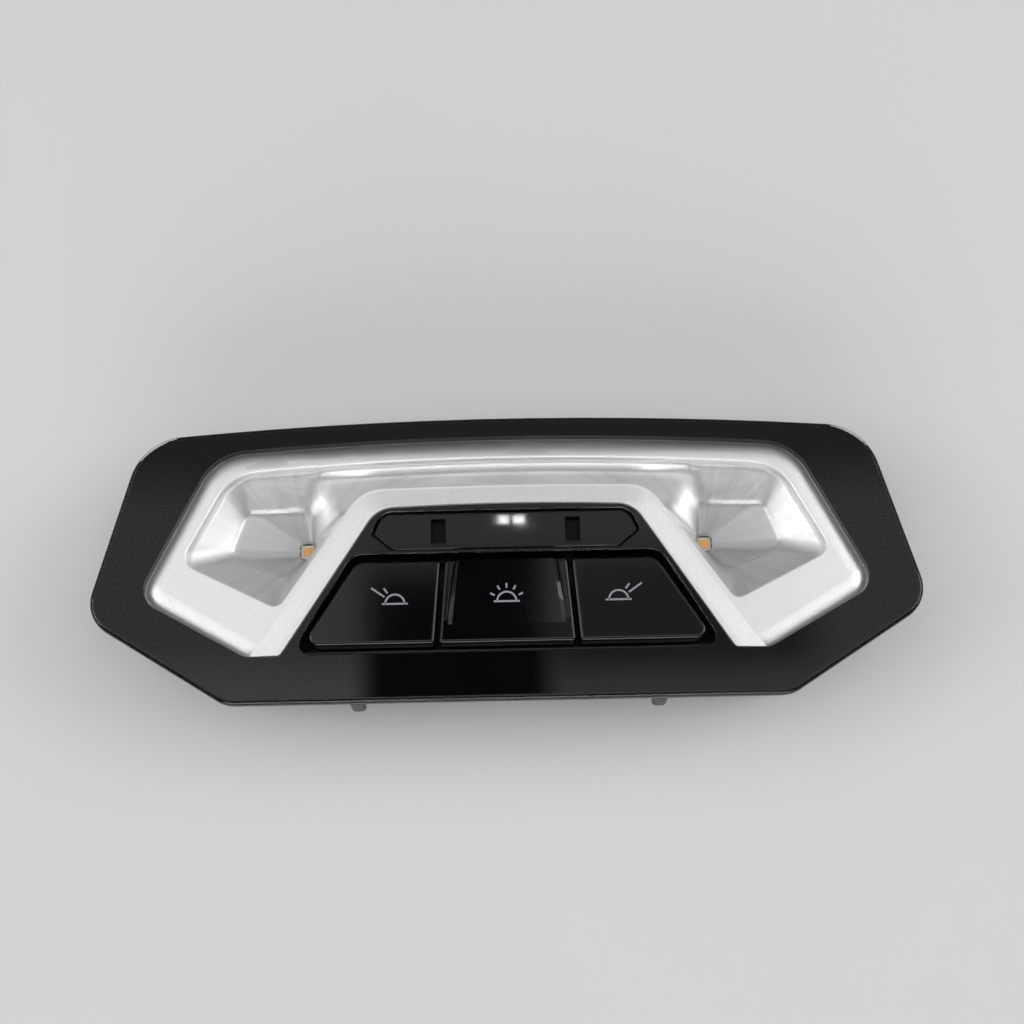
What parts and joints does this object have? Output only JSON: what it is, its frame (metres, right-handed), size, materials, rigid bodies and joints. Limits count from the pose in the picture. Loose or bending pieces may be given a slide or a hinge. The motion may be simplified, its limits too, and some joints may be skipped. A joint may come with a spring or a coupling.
{
  "type": "interior reading light",
  "caption": "Wide roof-mounted reading light for a vehicle cabin: gloss black face, silver arch, recessed lamp bowls under a clear cover and rocker keys below.",
  "frame": {"origin": "middle of the rear cover's outer face", "axes": "X along the width, Y up the face towards the lamps, Z out of the face"},
  "size_m": [0.2, 0.071, 0.0278],
  "materials": {
    "clear_plastic": "clear moulded plastic",
    "gloss_black": "high gloss black",
    "satin_silver": "satin silver paint",
    "bright_metal": "metallised plastic",
    "key_black": "satin black",
    "housing_dark": "fine grained dark plastic",
    "carrier_grey": "plain moulded plastic",
    "lamp_white": "white lamp base",
    "emitter_orange": "phosphor layer",
    "smoked_guide": "smoked light guide",
    "spring_steel": "rolled strip",
    "screw_steel": "zinc plated",
    "board_green": "coated board",
    "chip_black": "moulded package",
    "can_metal": "drawn can",
    "socket_cream": "plain moulded plastic",
    "contact_tin": "tin plated"
  },
  "bodies": {
    "lamp": {"clear_cover": "clear_plastic", "black_backing": "gloss_black", "silver_trim": "satin_silver", "reflector": "bright_metal", "upper_strip": "gloss_black", "left_slot_guide": "smoked_guide", "right_slot_guide": "smoked_guide", "key_carrier": "carrier_grey", "left_switch": "chip_black", "middle_switch": "chip_black", "right_switch": "chip_black", "left_key_lamp": "lamp_white", "middle_key_lamp": "lamp_white", "right_key_lamp": "lamp_white", "left_lamp_base": "lamp_white", "right_lamp_base": "lamp_white", "left_lamp_chip": "emitter_orange", "right_lamp_chip": "emitter_orange", "left_guide_lamp": "lamp_white", "right_guide_lamp": "lamp_white", "housing": "housing_dark", "left_spring_clip": "spring_steel", "right_spring_clip": "spring_steel", "rear_cover": "housing_dark", "rear_screws": "screw_steel", "plug_socket": "socket_cream", "plug_pins": "contact_tin", "circuit_board": "board_green", "driver_chip": "chip_black", "left_storage_can": "can_metal", "right_storage_can": "can_metal"},
    "left_key": {"left_key": "key_black"},
    "left_plunger": {"left_plunger": "lamp_white"},
    "middle_key": {"middle_key": "key_black"},
    "middle_plunger": {"middle_plunger": "lamp_white"},
    "right_key": {"right_key": "key_black"},
    "right_plunger": {"right_plunger": "lamp_white"}
  },
  "joints": [
    {"name": "left_key_press", "type": "hinge", "parent": "lamp", "child": "left_key", "pos_m": [0, 0.004, 0.0185], "axis": [1, 0, 0], "range_deg": [0, 1.8], "stiffness_Nm_per_rad": 0.2, "springref_deg": -4.58},
    {"name": "left_plunger_press", "type": "slide", "parent": "lamp", "child": "left_plunger", "axis": [0, 0, -1], "range_m": [0, 0.0006]},
    {"name": "middle_key_press", "type": "hinge", "parent": "lamp", "child": "middle_key", "pos_m": [0, 0.004, 0.0185], "axis": [1, 0, 0], "range_deg": [0, 1.8], "stiffness_Nm_per_rad": 0.2, "springref_deg": -4.58},
    {"name": "middle_plunger_press", "type": "slide", "parent": "lamp", "child": "middle_plunger", "axis": [0, 0, -1], "range_m": [0, 0.0006]},
    {"name": "right_key_press", "type": "hinge", "parent": "lamp", "child": "right_key", "pos_m": [0, 0.004, 0.0185], "axis": [1, 0, 0], "range_deg": [0, 1.8], "stiffness_Nm_per_rad": 0.2, "springref_deg": -4.58},
    {"name": "right_plunger_press", "type": "slide", "parent": "lamp", "child": "right_plunger", "axis": [0, 0, -1], "range_m": [0, 0.0006]}
  ],
  "couplings": [
    {"joint": "left_plunger_press", "follows": "left_key_press", "m_per_rad": 0.016},
    {"joint": "middle_plunger_press", "follows": "middle_key_press", "m_per_rad": 0.016},
    {"joint": "right_plunger_press", "follows": "right_key_press", "m_per_rad": 0.016}
  ]
}
